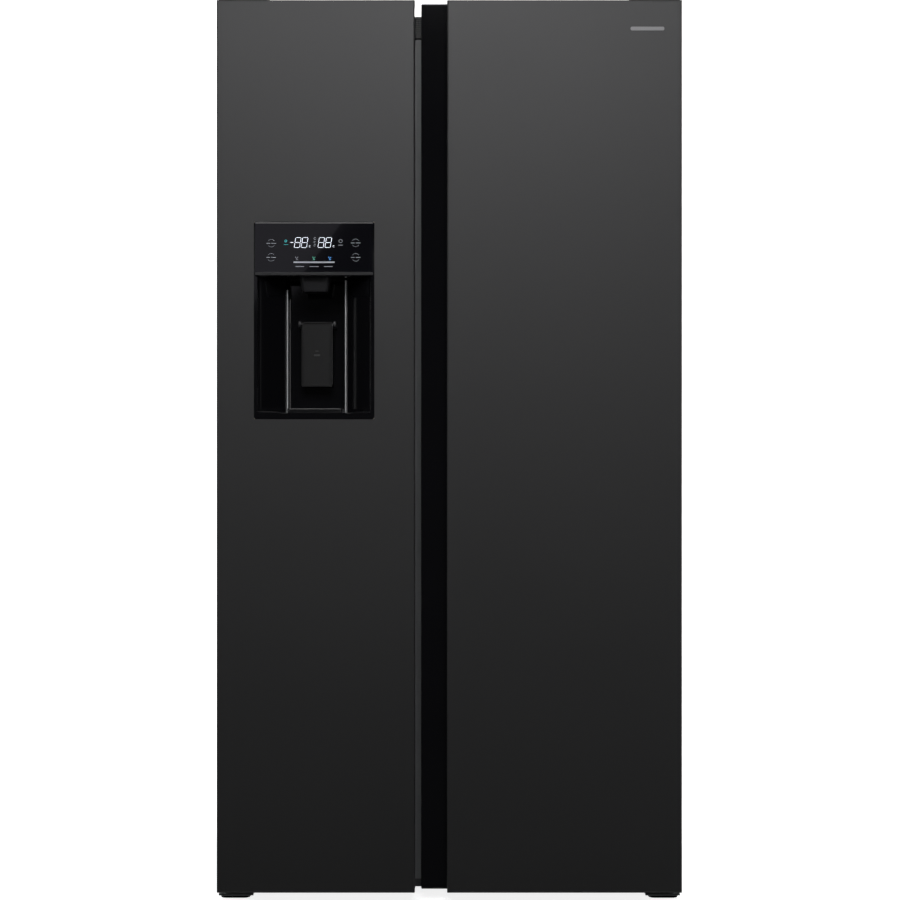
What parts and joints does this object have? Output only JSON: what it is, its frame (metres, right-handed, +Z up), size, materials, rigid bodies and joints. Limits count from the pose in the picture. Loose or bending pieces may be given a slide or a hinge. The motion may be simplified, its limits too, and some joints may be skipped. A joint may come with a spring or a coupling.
{
  "type": "side by side refrigerator",
  "caption": "Two-door side by side refrigerator with an ice and water dispenser in the freezer door and recessed vertical finger grips.",
  "frame": {"origin": "centre of the bounding box, on the floor", "axes": "+Z up; the doors face -Y; +X is to the right of someone who faces the doors"},
  "size_m": [0.911, 0.643, 1.786],
  "materials": {
    "side_panels": "dark graphite paint",
    "top_panel": "dark graphite paint",
    "back_panel": "galvanised sheet",
    "base_frame": "dark painted sheet",
    "cabinet_foam": "rigid insulation foam",
    "freezer_liner": "white inner liner",
    "fridge_liner": "white inner liner",
    "mullion_cover": "dark grey painted strip",
    "header_cover": "black plastic",
    "machine_cover": "black perforated sheet",
    "compressor": "black enamel",
    "condenser": "black enamel",
    "drain_pan": "black plastic",
    "fan_shroud": "black plastic",
    "condenser_fan": "dark grey plastic",
    "evaporator": "plain fins and tubes",
    "freezer_duct_cover": "light grey plastic",
    "evaporator_fan": "dark grey plastic",
    "fridge_duct_cover": "light grey plastic",
    "cabinet_lamps": "milky lamp cover",
    "ice_maker": "light grey plastic",
    "freezer_shelves": "clear tempered glass",
    "freezer_drawer_upper": "clear plastic",
    "freezer_drawer_lower": "clear plastic",
    "fridge_shelves": "clear tempered glass",
    "crisper_upper": "clear plastic",
    "crisper_lower": "clear plastic",
    "top_hinges": "zinc plated steel",
    "bottom_hinges": "black painted steel",
    "hinge_covers": "black plastic",
    "leveller_left": "black plastic",
    "leveller_right": "black plastic",
    "roller_left": "black plastic",
    "roller_right": "black plastic",
    "wall_spacers": "black plastic",
    "water_inlet": "plated brass",
    "cord_gland": "black plastic",
    "freezer_door_panel": "dark graphite satin metal",
    "freezer_door_foam": "rigid insulation foam",
    "freezer_door_liner": "white inner liner",
    "freezer_door_caps": "black plastic",
    "freezer_door_grip": "black gloss plastic",
    "freezer_door_gasket": "grey soft seal",
    "freezer_door_bins": "clear plastic",
    "dispenser_housing": "black gloss plastic",
    "dispenser_panel": "black gloss plastic",
    "dispenser_nozzle": "dark satin plastic",
    "dispenser_rails": "bright trim",
    "dispenser_paddle": "dark satin plastic",
    "drip_tray": "dark satin plastic",
    "ice_bucket": "clear plastic",
    "ice_auger": "plain metal",
    "fridge_door_panel": "dark graphite satin metal",
    "fridge_door_foam": "rigid insulation foam",
    "fridge_door_liner": "white inner liner",
    "fridge_door_caps": "black plastic",
    "fridge_door_grip": "black gloss plastic",
    "fridge_door_gasket": "grey soft seal",
    "fridge_door_bins": "clear plastic",
    "dairy_lid": "clear plastic"
  },
  "bodies": {
    "cabinet": {"side_panels": "side_panels", "top_panel": "top_panel", "back_panel": "back_panel", "base_frame": "base_frame", "cabinet_foam": "cabinet_foam", "freezer_liner": "freezer_liner", "fridge_liner": "fridge_liner", "mullion_cover": "mullion_cover", "header_cover": "header_cover", "machine_cover": "machine_cover", "compressor": "compressor", "condenser": "condenser", "drain_pan": "drain_pan", "fan_shroud": "fan_shroud", "evaporator": "evaporator", "freezer_duct_cover": "freezer_duct_cover", "fridge_duct_cover": "fridge_duct_cover", "cabinet_lamps": "cabinet_lamps", "ice_maker": "ice_maker", "freezer_shelves": "freezer_shelves", "fridge_shelves": "fridge_shelves", "top_hinges": "top_hinges", "bottom_hinges": "bottom_hinges", "hinge_covers": "hinge_covers", "wall_spacers": "wall_spacers", "water_inlet": "water_inlet", "cord_gland": "cord_gland"},
    "freezer_door": {"freezer_door_panel": "freezer_door_panel", "freezer_door_foam": "freezer_door_foam", "freezer_door_liner": "freezer_door_liner", "freezer_door_caps": "freezer_door_caps", "freezer_door_grip": "freezer_door_grip", "freezer_door_gasket": "freezer_door_gasket", "freezer_door_bins": "freezer_door_bins", "dispenser_housing": "dispenser_housing", "dispenser_panel": "dispenser_panel", "dispenser_nozzle": "dispenser_nozzle", "dispenser_rails": "dispenser_rails", "ice_bucket": "ice_bucket"},
    "fridge_door": {"fridge_door_panel": "fridge_door_panel", "fridge_door_foam": "fridge_door_foam", "fridge_door_liner": "fridge_door_liner", "fridge_door_caps": "fridge_door_caps", "fridge_door_grip": "fridge_door_grip", "fridge_door_gasket": "fridge_door_gasket", "fridge_door_bins": "fridge_door_bins"},
    "condenser_fan_body": {"condenser_fan": "condenser_fan"},
    "evaporator_fan_body": {"evaporator_fan": "evaporator_fan"},
    "freezer_drawer_upper_body": {"freezer_drawer_upper": "freezer_drawer_upper"},
    "freezer_drawer_lower_body": {"freezer_drawer_lower": "freezer_drawer_lower"},
    "crisper_upper_body": {"crisper_upper": "crisper_upper"},
    "crisper_lower_body": {"crisper_lower": "crisper_lower"},
    "leveller_left_body": {"leveller_left": "leveller_left"},
    "leveller_right_body": {"leveller_right": "leveller_right"},
    "roller_left_body": {"roller_left": "roller_left"},
    "roller_right_body": {"roller_right": "roller_right"},
    "dispenser_paddle_body": {"dispenser_paddle": "dispenser_paddle"},
    "drip_tray_body": {"drip_tray": "drip_tray"},
    "ice_auger_body": {"ice_auger": "ice_auger"},
    "dairy_lid_body": {"dairy_lid": "dairy_lid"}
  },
  "joints": [
    {"name": "freezer_door_swing", "type": "hinge", "parent": "cabinet", "child": "freezer_door", "pos_m": [-0.4375, -0.2915, 0.893], "axis": [0, 0, -1], "range_deg": [0, 120]},
    {"name": "fridge_door_swing", "type": "hinge", "parent": "cabinet", "child": "fridge_door", "pos_m": [0.4375, -0.2915, 0.893], "axis": [0, 0, 1], "range_deg": [0, 120]},
    {"name": "freezer_drawer_upper_slide", "type": "slide", "parent": "cabinet", "child": "freezer_drawer_upper_body", "axis": [0, -1, 0], "range_m": [0, 0.078]},
    {"name": "freezer_drawer_lower_slide", "type": "slide", "parent": "cabinet", "child": "freezer_drawer_lower_body", "axis": [0, -1, 0], "range_m": [0, 0.078]},
    {"name": "crisper_upper_slide", "type": "slide", "parent": "cabinet", "child": "crisper_upper_body", "axis": [0, -1, 0], "range_m": [0, 0.078]},
    {"name": "crisper_lower_slide", "type": "slide", "parent": "cabinet", "child": "crisper_lower_body", "axis": [0, -1, 0], "range_m": [0, 0.078]},
    {"name": "leveller_left_screw", "type": "slide", "parent": "cabinet", "child": "leveller_left_body", "axis": [0, 0, 1], "range_m": [-0.012, 0]},
    {"name": "leveller_right_screw", "type": "slide", "parent": "cabinet", "child": "leveller_right_body", "axis": [0, 0, 1], "range_m": [-0.012, 0]},
    {"name": "roller_left_turn", "type": "hinge", "parent": "cabinet", "child": "roller_left_body", "pos_m": [-0.4005, 0.2515, 0.025], "axis": [1, 0, 0], "continuous": true},
    {"name": "roller_right_turn", "type": "hinge", "parent": "cabinet", "child": "roller_right_body", "pos_m": [0.4005, 0.2515, 0.025], "axis": [1, 0, 0], "continuous": true},
    {"name": "condenser_fan_turn", "type": "hinge", "parent": "cabinet", "child": "condenser_fan_body", "pos_m": [-0.09, 0.2185, 0.135], "axis": [1, 0, 0], "continuous": true},
    {"name": "evaporator_fan_turn", "type": "hinge", "parent": "cabinet", "child": "evaporator_fan_body", "pos_m": [-0.254, 0.2105, 1.3385], "axis": [0, 1, 0], "continuous": true},
    {"name": "dispenser_paddle_push", "type": "hinge", "parent": "freezer_door", "child": "dispenser_paddle_body", "pos_m": [-0.2645, -0.2415, 1.141], "axis": [1, 0, 0], "range_deg": [0, 7], "stiffness_Nm_per_rad": 0.4, "springref_deg": -5.73},
    {"name": "drip_tray_slide", "type": "slide", "parent": "freezer_door", "child": "drip_tray_body", "axis": [0, -1, 0], "range_m": [0, 0.06]},
    {"name": "ice_auger_turn", "type": "hinge", "parent": "freezer_door", "child": "ice_auger_body", "pos_m": [-0.2645, -0.22, 1.411], "axis": [1, 0, 0], "continuous": true},
    {"name": "dairy_lid_lift", "type": "hinge", "parent": "fridge_door", "child": "dairy_lid_body", "pos_m": [0.19388, -0.1815, 1.64], "axis": [1, 0, 0], "range_deg": [0, 80]}
  ]
}
